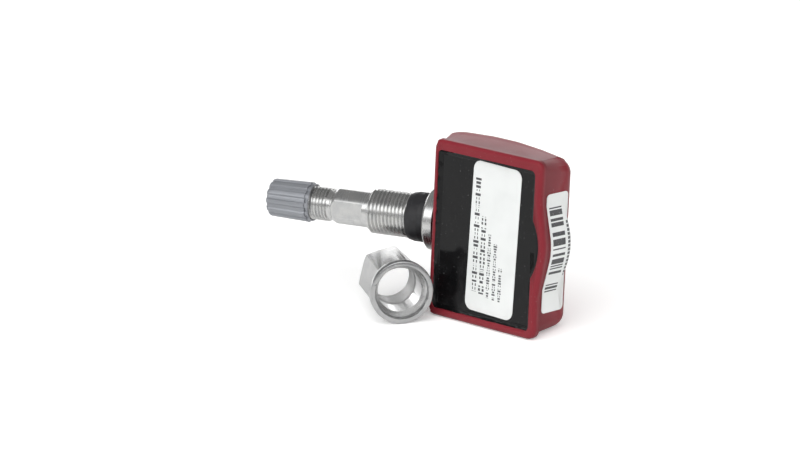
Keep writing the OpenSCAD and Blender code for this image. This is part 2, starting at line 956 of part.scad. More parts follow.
// The rubber-faced cup that closes the barrel's lower end
module core_cup() {
  color([0.25, 0.22, 0.2])
    along_stem()
      translate([0, 0, barrel_end - cup_t])
        difference() {
          cylinder(d = cup_d, h = cup_t);
          translate([0, 0, -cut])
            cylinder(r = pin_rod_r, h = cup_t + 2 * cut);
        }
}

// A wire of 6 sides swept along a helix, as one closed solid
module coil_spring(mean_r, wire_d, turns, length) {
  sides = 6;
  turn_steps = 16;
  steps = turn_steps * turns;
  rise = length - wire_d;
  function ring(i) = [
    for (k = [0 : sides - 1])
      let (
        turn = 360 * turns * i / steps,
        r = mean_r + wire_d / 2 * cos(360 * k / sides),
        z = wire_d / 2 + rise * i / steps + wire_d / 2 * sin(360 * k / sides)
      )
      [r * cos(turn), r * sin(turn), z]
  ];
  points = [for (i = [0 : steps]) each ring(i)];
  sides_faces = [
    for (i = [0 : steps - 1], k = [0 : sides - 1])
      let (a = i * sides + k, b = i * sides + (k + 1) % sides)
      each [[a, a + sides, b], [b, a + sides, b + sides]]
  ];
  first_end = [for (k = [0 : sides - 1]) k];
  last_end = [for (k = [0 : sides - 1]) steps * sides + sides - 1 - k];
  polyhedron(points = points, faces = concat(sides_faces, [first_end, last_end]));
}

module core_spring() {
  color([0.7, 0.7, 0.72])
    along_stem()
      translate([0, 0, spring_floor])
        coil_spring((pin_rod_r + spring_room_r) / 2, spring_wire, spring_turns,
          collar_low - spring_floor);
}

// The cap: a tapered shell with grip grooves from its plain collar to its closed end
module valve_cap() {
  end_round = 1;
  groove_r = 1.1;
  collar_r = cap_d / 2 - cap_groove_depth;
  color([0.56, 0.57, 0.6])
    along_stem()
      difference() {
        rotate_extrude() {
          polygon([
            [0, cap_start],
            [collar_r, cap_start],
            [collar_r, cap_start + cap_collar_l],
            [cap_d / 2, cap_start + cap_collar_l],
            [cap_end_d / 2, cap_top - end_round],
            [cap_end_d / 2 - end_round, cap_top],
            [0, cap_top]
          ]);
          translate([cap_end_d / 2 - end_round, cap_top - end_round])
            circle(end_round);
        }
        for (i = [0 : cap_grooves - 1])
          rotate([0, 0, 360 * (i + 0.5) / cap_grooves])
            translate([cap_end_d / 2 + groove_r - cap_groove_depth, 0, cap_start - cut])
              cylinder(r = groove_r, h = cap_l + 2 * cut);
        translate([0, 0, cap_start - cut])
          cylinder(r = cap_bore_r, h = cap_bore_top - cap_start + cut);
      }
}

// The rubber disc in the end of the cap
module cap_seal() {
  color([0.15, 0.15, 0.15])
    along_stem()
      translate([0, 0, cap_seal_low])
        cylinder(r = cap_bore_r, h = cap_seal_t);
}

// Places children given along the nut's axis, with Z from its mouth to its hexagon end
module along_nut() {
  in_housing()
    on_floor()
      translate([nut_x, nut_y, nut_lift])
        rotate([0, 90 + nut_pitch, nut_heading])
          rotate([0, 0, nut_roll])
            children();
}

// The sleeve nut: a round mouth, a hexagon sleeve with chamfered corners and a stepped bore
module sleeve_nut() {
  rim_edge = 0.3;
  rim_r = nut_rim_d / 2;
  bore_r = nut_bore_d / 2;
  bore_out = 0.6;
  color([0.78, 0.79, 0.8])
    along_nut()
      difference() {
        union() {
          rotate_extrude()
            polygon([
              [0, 0],
              [rim_r - rim_edge, 0],
              [rim_r, rim_edge],
              [rim_r, nut_rim_t - rim_edge],
              [rim_r - rim_edge, nut_rim_t],
              [0, nut_rim_t]
            ]);
          intersection() {
            translate([0, 0, nut_rim_t / 2])
              cylinder(r = nut_corner_r, h = nut_l - nut_rim_t / 2, $fn = 6);
            rotate_extrude()
              polygon([
                [0, 0],
                [nut_corner_r + cut, 0],
                [nut_corner_r + cut, nut_l - (nut_chamfer + cut) * nut_chamfer_slope],
                [nut_corner_r - nut_chamfer, nut_l],
                [0, nut_l]
              ]);
          }
        }
        rotate_extrude()
          polygon([
            [0, -cut],
            [nut_recess_d / 2, -cut],
            [nut_recess_d / 2, nut_recess_l],
            [bore_r, nut_recess_l + nut_cone_l],
            [bore_r, nut_l - bore_out],
            [bore_r + bore_out + cut, nut_l + cut],
            [0, nut_l + cut]
          ]);
      }
}

// The label on the potting, a thin sheet with round corners
module face_label() {
  color([0.93, 0.94, 0.94])
    in_housing()
      into_depth(fill_depth - label_t)
        translate([face_label_x, 0, 0])
          rotate([0, 0, face_label_turn])
            linear_extrude(label_t)
              rounded_rect(face_label_w, face_label_h, face_label_r);
}

// The label on the side, which follows the bulge
module side_label() {
  corner_r = 1;
  low_y = lip_depth + side_label_gap;
  color([0.93, 0.94, 0.94])
    in_housing()
      intersection() {
        difference() {
          union() {
            body_shape(label_t);
            bulge_shape(label_t);
          }
          body_shape();
          bulge_shape();
        }
        translate([cell_x, low_y + side_label_w / 2, -side_label_drop])
          rotate([0, 90, 0])
            linear_extrude(lip_w)
              rounded_rect(side_label_h, side_label_w, corner_r);
      }
}

housing();
potting();
circuit_board();
coin_cell();
positive_tab();
negative_tab();
sensor_chip();
pressure_seal();
crystal();
pickup_coil_core();
pickup_coil_winding();
loop_antenna();
chip_capacitors();
chip_resistors();
valve_stem();
stud_nut();
rim_grommet();
core_plug();
core_barrel();
core_gasket();
core_pin();
core_cup();
core_spring();
valve_cap();
cap_seal();
sleeve_nut();
face_label();
side_label();
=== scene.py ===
"""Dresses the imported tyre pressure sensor: threads, cap, nut, resin, finishes, camera and light."""

import logging
import math
from collections.abc import Callable, Sequence
from dataclasses import dataclass
from enum import Enum

import bpy
from mathutils import Euler, Matrix, Vector, noise


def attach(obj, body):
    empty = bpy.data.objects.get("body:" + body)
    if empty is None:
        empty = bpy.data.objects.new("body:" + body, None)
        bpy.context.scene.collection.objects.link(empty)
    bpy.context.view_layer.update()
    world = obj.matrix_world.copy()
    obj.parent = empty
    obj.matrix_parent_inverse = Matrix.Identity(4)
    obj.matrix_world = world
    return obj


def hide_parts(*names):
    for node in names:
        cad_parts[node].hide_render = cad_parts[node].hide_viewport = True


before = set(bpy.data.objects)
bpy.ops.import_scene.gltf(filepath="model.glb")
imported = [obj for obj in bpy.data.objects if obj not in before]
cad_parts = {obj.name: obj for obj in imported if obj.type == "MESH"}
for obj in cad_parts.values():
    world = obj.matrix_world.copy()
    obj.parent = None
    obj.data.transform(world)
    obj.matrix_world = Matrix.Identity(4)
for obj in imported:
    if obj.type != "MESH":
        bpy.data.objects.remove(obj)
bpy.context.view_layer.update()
LOG = logging.getLogger("sensor")

MM = 0.001
TURN = 2 * math.pi
Socket = bpy.types.NodeSocket
Material = bpy.types.Material
Colour = tuple[float, float, float]
Point = tuple[float, float]


@dataclass(frozen=True)
class Places:
    """The frames that the solids were drawn in, from sizes in millimetres and degrees."""

    stem_angle: float = 20.0
    seat: Point = (-20.5546, 6.0107)
    lip_depth: float = 2.0
    lip_half_height: float = 20.2
    rest_lean: float = 5.471
    nut_mouth: Point = (-15.0, -10.6)
    nut_heading: float = 144.7
    nut_roll: float = 16.2
    nut_pitch: float = 2.392
    nut_lift: float = 7.336

    def housing(self) -> Matrix:
        """The housing's frame: X across, Y into its depth, Z up."""
        seat = Vector((self.seat[0], self.seat[1], 0)) * MM
        return Matrix.Rotation(-math.radians(self.stem_angle), 4, "Z") @ Matrix.Translation(-seat)

    def floor(self) -> Matrix:
        """The floor that the lip, the rounded back and the nut stand on."""
        edge = Vector((0, self.lip_depth, -self.lip_half_height)) * MM
        lean = Matrix.Rotation(math.radians(self.rest_lean), 4, "X")
        return self.housing() @ Matrix.Translation(edge) @ lean

    def stem(self) -> Matrix:
        """The stem's frame, with Z from the seat to the tip."""
        return Matrix.Rotation(-math.pi / 2, 4, "Y")

    def nut(self) -> Matrix:
        """The loose nut's frame, with Z from its mouth to its hexagon end."""
        mouth = Vector((*self.nut_mouth, self.nut_lift)) * MM
        pitch, heading = math.radians(self.nut_pitch), math.radians(self.nut_heading)
        turn = Euler((0, math.pi / 2 + pitch, heading))
        roll = Matrix.Rotation(math.radians(self.nut_roll), 4, "Z")
        return self.floor() @ Matrix.Translation(mouth) @ turn.to_matrix().to_4x4() @ roll


PLACES = Places()


def towards(azimuth: float, elevation: float) -> Vector:
    """The way from the object to a place round it and above it, both in degrees."""
    a, e = math.radians(azimuth), math.radians(elevation)
    return Vector((math.sin(a) * math.cos(e), -math.cos(a) * math.cos(e), math.sin(e)))


def coat(piece: bpy.types.Object, material: Material) -> None:
    """Gives a piece one finish."""
    piece.data.materials.clear()
    piece.data.materials.append(material)


class Flow:
    """A number that flows through a node tree and takes Python's operators."""

    def __init__(self, recipe: "Recipe", socket: Socket) -> None:
        """Wraps an output socket of a recipe's tree."""
        self.recipe = recipe
        self.socket = socket

    def math(self, operation: str, *values: "Flow | float") -> "Flow":
        """Adds one Math node, whose inputs take the values in order."""
        return self.recipe.flow("Math", dict(enumerate(values)), operation=operation)

    def __add__(self, other: "Flow | float") -> "Flow":
        """Sum."""
        return self.math("ADD", self, other)

    __radd__ = __add__

    def __sub__(self, other: "Flow | float") -> "Flow":
        """Difference."""
        return self.math("SUBTRACT", self, other)

    def __rsub__(self, other: float) -> "Flow":
        """Difference from a plain number."""
        return self.math("SUBTRACT", other, self)

    def __mul__(self, other: "Flow | float") -> "Flow":
        """Product."""
        return self.math("MULTIPLY", self, other)

    def __truediv__(self, other: "Flow | float") -> "Flow":
        """Quotient."""
        return self.math("DIVIDE", self, other)

    def __gt__(self, other: "Flow | float") -> "Flow":
        """One where this is the greater, else nought."""
        return self.math("GREATER_THAN", self, other)

    def __lt__(self, other: "Flow | float") -> "Flow":
        """One where this is the less, else nought."""
        return self.math("LESS_THAN", self, other)

    def __abs__(self) -> "Flow":
        """Size without its sign."""
        return self.math("ABSOLUTE", self)

    def floor(self) -> "Flow":
        """Whole part."""
        return self.math("FLOOR", self)

    def fract(self) -> "Flow":
        """Part past the whole."""
        return self.math("FRACT", self)

    def between(self, low: float, high: float) -> "Flow":
        """One between two limits, else nought."""
        return (self > low) * (self < high)

    def step(self, low: float, high: float) -> "Flow":
        """Rises smoothly from nought at the lower limit to one at the higher."""
        inputs = {"Value": self, "From Min": low, "From Max": high}
        return self.recipe.flow("MapRange", inputs, interpolation_type="SMOOTHSTEP")


class Recipe:
    """A material or a world while its nodes are put together."""

    def __init__(self, owner: bpy.types.ID) -> None:
        """Empties the owner's tree.

        Args:
            owner: The new material or world.
        """
        self.owner = owner
        owner.use_nodes = True
        self.tree = owner.node_tree
        self.tree.nodes.clear()

    @classmethod
    def material(cls, name: str, place: Matrix) -> tuple["Recipe", Socket]:
        """Starts a material, and gives Object coordinates in its sub-assembly's frame."""
        recipe = cls(bpy.data.materials.new(name))
        return recipe, recipe.local(place)

    def node(self, kind: str, inputs: dict | None = None, **settings: object) -> bpy.types.Node:
        """Adds a node.

        Args:
            kind: The node's type, without its first words.
            inputs: Values, sockets or flows for its inputs, by name or number.
            settings: Its own settings, set first.

        Returns:
            The new node.
        """
        made = self.tree.nodes.new("ShaderNode" + kind)
        for key, value in settings.items():
            setattr(made, key, value)
        for key, value in (inputs or {}).items():
            slot = made.inputs[key]
            value = value.socket if isinstance(value, Flow) else value
            if isinstance(value, Socket):
                self.tree.links.new(value, slot)
            else:
                slot.default_value = (*value, 1) if slot.type == "RGBA" else value
        return made

    def flow(self, kind: str, inputs: dict, **settings: object) -> Flow:
        """Adds a node and gives its first output as a flow."""
        return Flow(self, self.node(kind, inputs, **settings).outputs[0])

    def local(self, place: Matrix) -> Socket:
        """Object coordinates in millimetres, in a sub-assembly's own frame.

        Args:
            place: The frame, as Places gives it.

        Returns:
            The vector's socket.
        """
        back = place.inverted()
        inputs = {
            "Vector": self.node("TexCoord").outputs["Object"],
            "Location": back.translation / MM,
            "Rotation": back.to_euler(),
            "Scale": (1 / MM,) * 3,
        }
        return self.node("Mapping", inputs, vector_type="POINT").outputs[0]

    def axes(self, vector: Socket) -> tuple[Flow, Flow, Flow]:
        """The vector's three parts as flows."""
        parts = self.node("SeparateXYZ", {"Vector": vector})
        return tuple(Flow(self, out) for out in parts.outputs)

    def vector(self, x: Flow | float, y: Flow | float, z: Flow | float) -> Socket:
        """Three numbers as one vector."""
        return self.node("CombineXYZ", {"X": x, "Y": y, "Z": z}).outputs[0]

    def noise(
        self, vector: Socket, scale: float, detail: float = 2, rough: float = 0.5
    ) -> Flow:
        """Soft noise near a half, with waves to the millimetre and finer layers on them."""
        inputs = {"Vector": vector, "Scale": scale, "Detail": detail, "Roughness": rough}
        return self.flow("TexNoise", inputs)

    def chance(self, cell: Flow) -> Flow:
        """A random number from nought to one for each whole number."""
        return self.flow("TexWhiteNoise", {"W": cell}, noise_dimensions="1D")

    def mix(self, share: Flow, first: Colour | Socket, second: Colour | Socket) -> Socket:
        """Mixes two colours by the second one's share."""
        inputs = {0: share, 6: first, 7: second}
        return self.node("Mix", inputs, data_type="RGBA").outputs[2]

    def relief(self, *layers: tuple[Flow, float]) -> Socket:
        """Stacks heights into one bumped normal.

        Args:
            layers: Heights from nought to one, each with what one stands for in millimetres.

        Returns:
            The normal's socket.
        """
        under = {}
        for height, depth in layers:
            inputs = {"Height": height, "Distance": depth * MM, "Strength": 1.0, **under}
            under = {"Normal": self.node("Bump", inputs).outputs[0]}
        return under["Normal"]

    def surface(self, **inputs: object) -> Material:
        """Ends the material with a Principled shader.

        Args:
            inputs: Its inputs, with _ for a space.

        Returns:
            The finished material.
        """
        named = {key.replace("_", " "): value for key, value in inputs.items()}
        shader = self.node("BsdfPrincipled", named)
        self.node("OutputMaterial", {"Surface": shader.outputs[0]})
        return self.owner


@dataclass(frozen=True)
class MouldedPlastic:
    """Moulded plastic with a fine grain, flow marks, rubs and settled dust."""

    name: str
    colour: Colour
    pale: Colour
    place: Matrix
    roughness: float = 0.34
    grain: float = 7.0
    grain_depth: float = 0.005
    dust: float = 0.5
    gloss: float = 0.25
    flake: float = 0.0

    def make(self) -> Material:
        """Builds the material."""
        recipe, where = Recipe.material(self.name, self.place)
        clouds = recipe.noise(where, 0.16, 4)
        fine = recipe.noise(where, self.grain, 3, 0.6)
        specks = recipe.noise(where, 3.1).step(0.68, 0.74)
        specks = specks * recipe.noise(where, 0.35).step(0.45, 0.65)
        rubs = recipe.noise(where, 0.9, 5, 0.7).step(0.55, 0.8)
        tint = recipe.mix(clouds.step(0.3, 0.75) * 0.22 + rubs * 0.1, self.colour, self.pale)
        tint = recipe.mix(specks * self.dust, tint, (0.55, 0.5, 0.48))
        sink = recipe.noise(where, 0.5)
        return recipe.surface(
            Base_Color=tint,
            Roughness=self.roughness + clouds * 0.12 - rubs * 0.06 + specks * 0.2,
            Specular_IOR_Level=self.gloss,
            Metallic=self.flake,
            Normal=recipe.relief((fine, self.grain_depth), (sink, 0.03)),
        )


@dataclass(frozen=True)
class PouredResin:
    """Glossy black resin, poured and set, with slow waves, a faint bloom and dust."""

    name: str
    place: Matrix

    def make(self) -> Material:
        """Builds the material."""
        recipe, where = Recipe.material(self.name, self.place)
        waves = recipe.noise(where, 0.09)
        dust = recipe.noise(where, 2.6).step(0.7, 0.76)
        bloom = recipe.noise(where, 0.22, 4, 0.6).step(0.5, 0.8)
        tint = recipe.mix(bloom * 0.5, (0.005, 0.005, 0.0055), (0.013, 0.013, 0.014))
        tint = recipe.mix(dust * 0.4, tint, (0.2, 0.2, 0.2))
        ripple = recipe.noise(where, 1.6, 3)
        return recipe.surface(
            Base_Color=tint,
            Roughness=0.12 + bloom * 0.14 + dust * 0.3,
            Specular_IOR_Level=0.28,
            Normal=recipe.relief((waves, 0.35), (ripple, 0.004)),
        )


class Lay(Enum):
    """Which way the tool marks run on a metal face."""

    TURNED = "rings round the axis"
    DRAWN = "lines along the axis"


@dataclass(frozen=True)
class ToolMarkedMetal:
    """Bare metal with tool marks, a faint oxide, small scratches and, inside a given radius, painted
    light: a colour lifted near white that stands in for light reflected in a bore.
    """

    name: str
    colour: Colour
    dull: Colour
    place: Matrix
    lay: Lay = Lay.TURNED
    roughness: float = 0.19
    marks: float = 9.0
    mark_depth: float = 0.004
    # Radius inside which the colour is painted near white as a painted reflection of light in a bore;
    # nought for none.
    bore: float = 0.0

    def make(self) -> Material:
        """Builds the material."""
        recipe, where = Recipe.material(self.name, self.place)
        x, y, z = recipe.axes(where)
        radius = (x * x + y * y).math("SQRT", x * x + y * y)
        if self.lay is Lay.TURNED:
            lined = recipe.vector(radius * self.marks, x * 0.15, z * self.marks)
        else:
            lined = recipe.vector(x * self.marks, y * self.marks, z * 0.3)
        lines = recipe.noise(lined, 1.0, 3, 0.6)
        clouds = recipe.noise(where, 0.35, 3, 0.6)
        crossed = recipe.vector(x * 0.6, y * 3 + z, z * 5)
        scratch = recipe.noise(crossed, 1.0, 4, 0.7).step(0.6, 0.72)
        tint = recipe.mix(clouds.step(0.35, 0.75) * 0.6 + scratch * 0.2, self.colour, self.dull)
        # Painted light: inside the bore radius the colour is lifted near white, standing in for light
        # reflected in the bore, not a colour of the metal.
        tint = recipe.mix((radius < self.bore) * 0.9, tint, (0.9, 0.9, 0.9))
        swell = recipe.noise(where, 1.1)
        return recipe.surface(
            Base_Color=tint,
            Metallic=1.0,
            Roughness=self.roughness + (lines - 0.5) * 0.2 + clouds * 0.1 + scratch * 0.08,
            Normal=recipe.relief((lines, self.mark_depth), (swell, 0.005)),
        )


@dataclass(frozen=True)
class MouldedRubber:
    """Dense black rubber, matt, with a mould's fine texture and grey bloom."""

    name: str
    place: Matrix
    colour: Colour = (0.014, 0.014, 0.016)

    def make(self) -> Material:
        """Builds the material."""
        recipe, where = Recipe.material(self.name, self.place)
        bloom = recipe.noise(where, 0.6, 4, 0.6).step(0.45, 0.8)
        grit = recipe.noise(where, 9)
        dust = recipe.noise(where, 4.2).step(0.7, 0.78)
        tint = recipe.mix(bloom * 0.6, self.colour, (0.035, 0.036, 0.04))
        tint = recipe.mix(dust * 0.35, tint, (0.22, 0.22, 0.22))
        return recipe.surface(
            Base_Color=tint,
            Roughness=0.46 + bloom * 0.16,
            Normal=recipe.relief((grit, 0.008)),
        )


class Print(Enum):
    """What a label carries in place of words."""

    ROWS = "rows of dashes along its height"
    BARS = "a block of plain bars across it"


@dataclass(frozen=True)
class PrintedSheet:
    """A white film label with plain printed marks, a soft sheen and faint handling marks."""

    name: str
    place: Matrix
    marks: Print
    centre: float = 2.4

    def ink(self, recipe: Recipe, where: Socket) -> Flow:
        """Where the label is printed.

        Args:
            recipe: The label's material.
            where: Millimetres in the label's own frame.

        Returns:
            One on ink, else nought.
        """
        x, y, z = recipe.axes(where)
        if self.marks is Print.BARS:
            cell = (z + 43.7) / 0.3
            bars = (recipe.chance(cell.floor()) > 0.42) * z.between(-10.6, 9.8)
            dashes = (z * 1.15 + 40).fract() > 0.3
            side = y.between(8.75, 9.75) * z.between(-6.4, 6.3)
            return bars * y.between(3.7, 7.9) + dashes * side
        x = x - self.centre
        ink = None
        rows = (
            (-5.0, 1.7, -12.6, 13.4),
            (-2.9, 1.7, -12.9, 4.9),
            (-1.0, 1.1, -13.4, 1.2),
            (0.75, 1.1, -13.6, -0.8),
            (2.45, 1.1, -13.9, -6.0),
        )
        for i, (across, height, low, high) in enumerate(rows):
            word = z * 0.3 + 40 + i * 7.3
            stroke = z / height * 1.9 + 60
            lettered = (word.fract() > 0.1) * (stroke.fract() > 0.34)
            off = abs(x - across) / (height / 2)
            tall = off < recipe.chance(stroke.floor() + 31 * i) * 0.5 + 0.5
            hollow = (off > 0.3) + (recipe.chance(stroke.floor() + 57 * i) > 0.5)
            drawn = z.between(low, high) * lettered * tall * hollow.math("MINIMUM", hollow, 1.0)
            ink = drawn if ink is None else ink + drawn
        return ink

    def make(self) -> Material:
        """Builds the material."""
        recipe, where = Recipe.material(self.name, self.place)
        clouds = recipe.noise(where, 0.12, 3)
        scuffs = recipe.noise(where, 1.3, 4, 0.7).step(0.62, 0.8)
        handled = clouds.step(0.35, 0.75) * 0.5 + scuffs * 0.3
        paper = recipe.mix(handled, (0.84, 0.86, 0.85), (0.72, 0.74, 0.73))
        worn = 1 - recipe.noise(where, 2.4, 3, 0.7).step(0.62, 0.74) * 0.5
        tint = recipe.mix(self.ink(recipe, where) * worn * 0.94, paper, (0.02, 0.02, 0.025))
        return recipe.surface(
            Base_Color=tint,
            Roughness=0.4 + scuffs * 0.2 + clouds * 0.1,
            Normal=recipe.relief((recipe.noise(where, 0.5, 3), 0.03)),
        )


class Bench:
    """One piece while it is modelled by hand, in its sub-assembly's frame in millimetres."""

    def __init__(self, name: str, add: Callable[..., set], **settings: object) -> None:
        """Adds a primitive, with its place, turn and size baked into its mesh.

        Args:
            name: The piece's name.
            add: The primitive's operator.
            settings: What the operator takes.
        """
        self.clear()
        add(**settings)
        self.object = bpy.context.object
        self.object.name = name
        self.object.data.name = name
        self.apply()

    @staticmethod
    def clear() -> None:
        """Leaves edit mode and selects nothing."""
        if bpy.context.object and bpy.context.object.mode != "OBJECT":
            bpy.ops.object.mode_set(mode="OBJECT")
        bpy.ops.object.select_all(action="DESELECT")

    def hold(self) -> None:
        """Makes this the only selected piece."""
        self.clear()
        self.object.select_set(True)
        bpy.context.view_layer.objects.active = self.object

    def edit(self) -> None:
        """Opens the piece in edit mode with everything selected."""
        self.hold()
        bpy.ops.object.mode_set(mode="EDIT")
        self.select()

    @staticmethod
    def select(kind: str = "") -> None:
        """Selects everything, as points, edges or faces where a kind is given."""
        if kind:
            bpy.ops.mesh.select_mode(type=kind)
        bpy.ops.mesh.select_all(action="SELECT")

    def apply(self) -> None:
        """Bakes the piece's place, turn and size into its mesh."""
        self.hold()
        bpy.ops.object.transform_apply(location=True, rotation=True, scale=True)

    @classmethod
    def draw(cls, name: str, points: Sequence[Point], closed: bool = False) -> "Bench":
        """Draws a chain of edges from a single point, in the XZ plane.

        Args:
            name: The piece's name.
            points: Radius and height of each point in turn.
            closed: Whether the chain comes back to its start.

        Returns:
            The piece, open in edit mode.
        """
        piece = cls(name, bpy.ops.mesh.primitive_plane_add, size=1)
        piece.edit()
        bpy.ops.mesh.merge(type="CENTER")
        bpy.ops.transform.translate(value=(points[0][0], 0, points[0][1]))
        chain = [*points, *points[:closed]]
        for (x0, z0), (x1, z1) in zip(chain, chain[1:]):
            step = {"value": (x1 - x0, 0, z1 - z0)}
            bpy.ops.mesh.extrude_vertices_move(TRANSFORM_OT_translate=step)
        piece.weld()
        return piece

    def weld(self) -> None:
        """Merges doubled points."""
        self.select()
        bpy.ops.mesh.remove_doubles(threshold=0.002)

    def outward(self) -> None:
        """Turns all faces outwards."""
        self.select()
        bpy.ops.mesh.normals_make_consistent(inside=False)

    @classmethod
    def turned(
        cls, name: str, points: Sequence[Point], segments: int = 96, closed: bool = False
    ) -> "Bench":
        """Spins a drawn profile round Z.

        Args:
            name: The piece's name.
            points: The profile.
            segments: Steps round the axis.
            closed: Whether the profile is a ring's section.

        Returns:
            The closed piece.
        """
        piece = cls.draw(name, points, closed)
        cls.select()
        bpy.ops.mesh.spin(steps=segments, angle=TURN, center=(0, 0, 0), axis=(0, 0, 1))
        piece.weld()
        piece.outward()
        return piece

    @classmethod
    def prism(cls, name: str, radius: float, low: float, high: float, sides: int) -> "Bench":
        """Makes a prism or rod along Z, as a cutting tool or a blank.

        Args:
            name: The piece's name.
            radius: Its corners' radius.
            low: Its lower end.
            high: Its upper end.
            sides: How many sides it has.

        Returns:
            The piece.
        """
        return cls(
            name, bpy.ops.mesh.primitive_cylinder_add, vertices=sides, radius=radius,
            depth=high - low, location=(0, 0, (low + high) / 2),
        )

    @classmethod
    def block(cls, name: str, size: tuple[float, ...], middle: tuple[float, ...]) -> "Bench":
        """Makes a box of three sides round its middle, as a cutting tool or a blank."""
        return cls(name, bpy.ops.mesh.primitive_cube_add, size=1, location=middle, scale=size)

    def modify(self, kind: str, **settings: object) -> None:
        """Adds a modifier and applies it.

        Args:
            kind: The modifier's type.
            settings: Its settings.
        """
        self.hold()
        bpy.ops.object.modifier_add(type=kind)
        modifier = self.object.modifiers[-1]
        for key, value in settings.items():
            setattr(modifier, key, value)
        bpy.ops.object.modifier_apply(modifier=modifier.name)

    def break_edges(self, width: float) -> None:
        """Rounds every sharp edge."""
        self.modify(
            "BEVEL", width=width, segments=2, limit_method="ANGLE", angle_limit=math.radians(38)
        )

    def boolean(self, tool: "Bench", operation: str = "DIFFERENCE") -> None:
        """Cuts with another piece, or adds or meets it, and throws that piece away."""
        self.modify("BOOLEAN", operation=operation, solver="EXACT", object=tool.object)
        bpy.data.objects.remove(tool.object)

    def join(self, *others: "Bench") -> None:
        """Takes other pieces into this one.

        Args:
            others: The other pieces.
        """
        self.hold()
        for other in others:
            other.object.select_set(True)
        bpy.ops.object.join()

    def pick(self, kind: str, test: Callable[..., bool]) -> None:
        """Selects faces by their middle, or edges by their two ends.

        Args:
            kind: FACE or EDGE.
            test: Says for those places whether the part is picked.
        """
        bpy.ops.mesh.select_mode(type=kind)
        bpy.ops.mesh.select_all(action="DESELECT")
        bpy.ops.object.mode_set(mode="OBJECT")
        data = self.object.data
        if kind == "FACE":
            for face in data.polygons:
                face.select = test(face.center)
        else:
            for edge in data.edges:
                edge.select = test(*(data.vertices[i].co for i in edge.vertices))
        bpy.ops.object.mode_set(mode="EDIT")

    def move_points(self, rule: Callable[[Vector], Vector], every: bool = True) -> None:
        """Moves points, for forms that no operator gives.

        Args:
            rule: Gives each point's new place.
            every: Whether all points move, or only the selected ones.
        """
        bpy.ops.object.mode_set(mode="OBJECT")
        for point in self.object.data.vertices:
            if every or point.select:
                point.co = rule(point.co)
        self.object.data.update()

    def finish(
        self, place: Matrix, material: Material, slot: str, body: str = "sensor",
        replaces: tuple[str, ...] = (), degrees: float = 35,
    ) -> None:
        """Sets the piece in its place, and gives it its finish and its body.

        Args:
            place: The frame of its sub-assembly.
            material: Its finish.
            slot: The record's slot of that finish; not used.
            body: The body that it rides on.
            replaces: The solids that it stands for.
            degrees: The angle under which edges are shaded smooth.
        """
        self.clear()
        self.object.matrix_world = place @ Matrix.Scale(MM, 4)
        self.apply()
        bpy.ops.object.shade_smooth_by_angle(angle=math.radians(degrees))
        coat(self.object, material)
        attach(self.object, body)
        if replaces:
            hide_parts(*replaces)
        LOG.info("%s: %d faces", self.object.name, len(self.object.data.polygons))


@dataclass
class ScrewThread:
    """A rolled thread's ridge, wound round the axis as one closed rib."""

    name: str
    major: float
    minor: float
    pitch: float
    start: float
    end: float
    inner: bool = False
    steps: int = 48
    sunk: float = 0.12
    foot_share: float = 0.47
    crest_share: float = 0.08

    def build(self, reach: Sequence[Point]) -> Bench:
        """Winds the ridge.

        Args:
            reach: Heights with the crest's limit at each, which fades the ridge at its ends.

        Returns:
            The ridge.
        """
        foot = self.major + self.sunk if self.inner else self.minor - self.sunk
        crest = self.minor if self.inner else self.major
        half, flat = self.pitch * self.foot_share, self.pitch * self.crest_share
        section = [
            (foot, self.start - half),
            (crest, self.start - flat),
            (crest, self.start + flat),
            (foot, self.start + half),
        ]
        ridge = Bench.draw(self.name, section, closed=True)
        turns = round((self.end - self.start) / self.pitch)
        ridge.modify(
            "SCREW", angle=TURN, screw_offset=self.pitch, iterations=turns,
            steps=self.steps, render_steps=self.steps, use_merge_vertices=False,
        )
        ridge.edit()
        bpy.ops.mesh.select_mode(type="VERT")
        bpy.ops.mesh.select_non_manifold(extend=False)
        bpy.ops.mesh.fill_holes(sides=8)
        ridge.outward()
        low = self.start - half

        def held(point: Vector) -> Vector:
            """Keeps a point inside the outline.

            Args:
                point: A point of the ridge.

            Returns:
                Its new place.
            """
            radius = math.hypot(point.x, point.y)
            limit = ramp(max(low, point.z), reach)
            wanted = max(radius, limit) if self.inner else min(radius, limit)
            return Vector((point.x * wanted / radius, point.y * wanted / radius, point.z))

        ridge.move_points(held)
        return ridge


def ramp(t: float, stops: Sequence[Point]) -> float:
    """A value between stops.

    Args:
        t: Where it is read.
        stops: Places and their values, in rising order.

    Returns:
        The value, held flat past the ends.
    """
    if t <= stops[0][0]:
        return stops[0][1]
    for (t0, v0), (t1, v1) in zip(stops, stops[1:]):
        if t <= t1:
            return v0 + (v1 - v0) * (t - t0) / (t1 - t0)
    return stops[-1][1]


